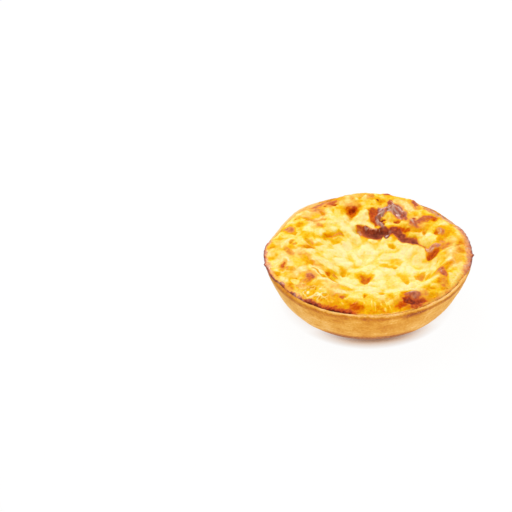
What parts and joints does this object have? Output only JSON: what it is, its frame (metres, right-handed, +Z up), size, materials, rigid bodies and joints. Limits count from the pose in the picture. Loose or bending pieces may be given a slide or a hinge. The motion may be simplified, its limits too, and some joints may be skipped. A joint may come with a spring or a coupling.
{
  "type": "rice tart",
  "caption": "Round individual rice tart: a tapered shortcrust case filled with rice custard, its skin sunken in the middle, wrinkled and scorched in patches.",
  "frame": {"origin": "middle of the flat base of the pastry case", "axes": "+Z up through the middle of the tart, +X to its right and +Y to its far side as shown"},
  "size_m": [0.1106, 0.1101, 0.0303],
  "materials": {
    "shortcrust": "matt baked pastry, toasted towards the rim",
    "rice_custard": "satin baked custard skin, pale yellow with amber, brown and scorched patches"
  },
  "bodies": {
    "root": {"pastry_case": "shortcrust", "rice_filling": "rice_custard"}
  },
  "joints": []
}
